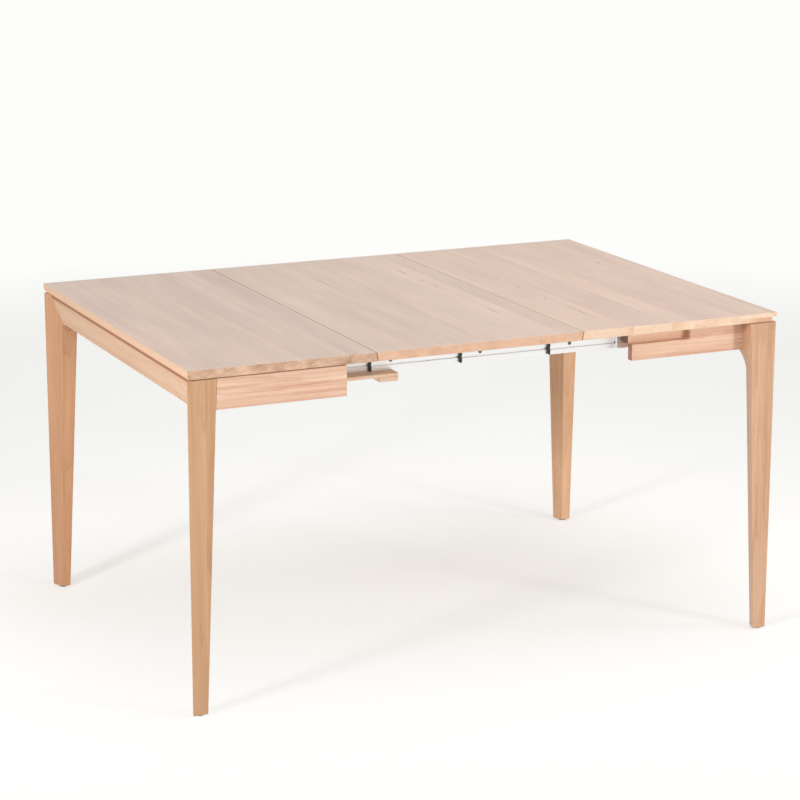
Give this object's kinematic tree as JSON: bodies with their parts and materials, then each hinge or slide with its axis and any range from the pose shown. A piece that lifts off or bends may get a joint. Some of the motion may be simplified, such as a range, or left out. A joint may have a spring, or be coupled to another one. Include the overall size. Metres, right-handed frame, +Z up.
{
  "type": "extendable console table",
  "caption": "Extendable wooden console table, drawn out on telescopic slides with loose leaves fitted, on tapered slanted legs under kneed end rails.",
  "frame": {"origin": "floor point under the middle of the opened table", "axes": "+X along the table from the fixed console frame to the sliding frame, +Y from front to back, +Z up"},
  "size_m": [1.42, 1, 0.755],
  "materials": {
    "oak_top": "matt lacquered light oak with straight grain",
    "oak_leg": "matt lacquered solid oak",
    "oak_apron": "matt lacquered oak veneer",
    "beech": "plain sanded beech",
    "aluminium": "drawn, satin anodised",
    "black_plastic": "moulded, matt",
    "steel": "dark plated"
  },
  "bodies": {
    "left_frame": {"console_top": "oak_top", "left_leg_front": "oak_leg", "left_leg_back": "oak_leg", "left_end_rail": "oak_apron", "left_apron_front": "oak_apron", "left_apron_back": "oak_apron", "left_foot_glide_front": "black_plastic", "left_foot_glide_back": "black_plastic", "left_cleat_front": "beech", "left_cleat_back": "beech", "left_bearer_front": "beech", "left_bearer_back": "beech", "left_slide_front": "aluminium", "left_slide_back": "aluminium", "left_slide_cap_front": "black_plastic", "left_slide_cap_back": "black_plastic", "top_screw_front_1": "steel", "top_screw_front_2": "steel", "top_screw_back_1": "steel", "top_screw_back_2": "steel"},
    "stage_a": {"slide_a_front": "aluminium", "slide_a_back": "aluminium", "slide_a_cap_front": "black_plastic", "slide_a_cap_back": "black_plastic", "cross_plate": "oak_apron", "cross_plate_batten": "oak_apron", "plate_screw_front": "steel", "plate_screw_back": "steel"},
    "stage_b": {"slide_b_front": "aluminium", "slide_b_back": "aluminium", "slide_b_cap_front": "black_plastic", "slide_b_cap_back": "black_plastic"},
    "stage_c": {"slide_c_front": "aluminium", "slide_c_back": "aluminium", "slide_c_cap_front": "black_plastic", "slide_c_cap_back": "black_plastic"},
    "stage_d": {"slide_d_front": "aluminium", "slide_d_back": "aluminium", "slide_d_cap_front": "black_plastic", "slide_d_cap_back": "black_plastic"},
    "right_frame": {"right_leg_front": "oak_leg", "right_leg_back": "oak_leg", "right_end_rail": "oak_apron", "right_apron_front": "oak_apron", "right_apron_back": "oak_apron", "right_foot_glide_front": "black_plastic", "right_foot_glide_back": "black_plastic", "right_runner_front": "beech", "right_runner_back": "beech", "right_slide_front": "aluminium", "right_slide_back": "aluminium", "right_slide_cap_front": "black_plastic", "right_slide_cap_back": "black_plastic"},
    "middle_leaf_body": {"middle_leaf": "oak_top", "middle_leaf_batten_front": "beech", "middle_leaf_batten_back": "beech"},
    "right_leaf_body": {"right_leaf": "oak_top", "right_leaf_batten_front": "beech", "right_leaf_batten_back": "beech"}
  },
  "joints": [
    {"name": "extension", "type": "slide", "parent": "left_frame", "child": "right_frame", "axis": [1, 0, 0], "range_m": [0, 0.08]},
    {"name": "stage_a_slide", "type": "slide", "parent": "left_frame", "child": "stage_a", "axis": [1, 0, 0], "range_m": [0, 0.016]},
    {"name": "stage_b_slide", "type": "slide", "parent": "left_frame", "child": "stage_b", "axis": [1, 0, 0], "range_m": [0, 0.032]},
    {"name": "stage_c_slide", "type": "slide", "parent": "left_frame", "child": "stage_c", "axis": [1, 0, 0], "range_m": [0, 0.048]},
    {"name": "stage_d_slide", "type": "slide", "parent": "left_frame", "child": "stage_d", "axis": [1, 0, 0], "range_m": [0, 0.064]},
    {"name": "middle_leaf_lift", "type": "slide", "parent": "left_frame", "child": "middle_leaf_body", "axis": [0, 0, 1], "range_m": [0, 0.25]},
    {"name": "right_leaf_lift", "type": "slide", "parent": "right_frame", "child": "right_leaf_body", "axis": [0.3304, 0, 0.9438], "range_m": [0, 0.25]}
  ],
  "couplings": [
    {"joint": "stage_a_slide", "follows": "extension", "ratio": 0.2},
    {"joint": "stage_b_slide", "follows": "extension", "ratio": 0.4},
    {"joint": "stage_c_slide", "follows": "extension", "ratio": 0.6},
    {"joint": "stage_d_slide", "follows": "extension", "ratio": 0.8}
  ]
}
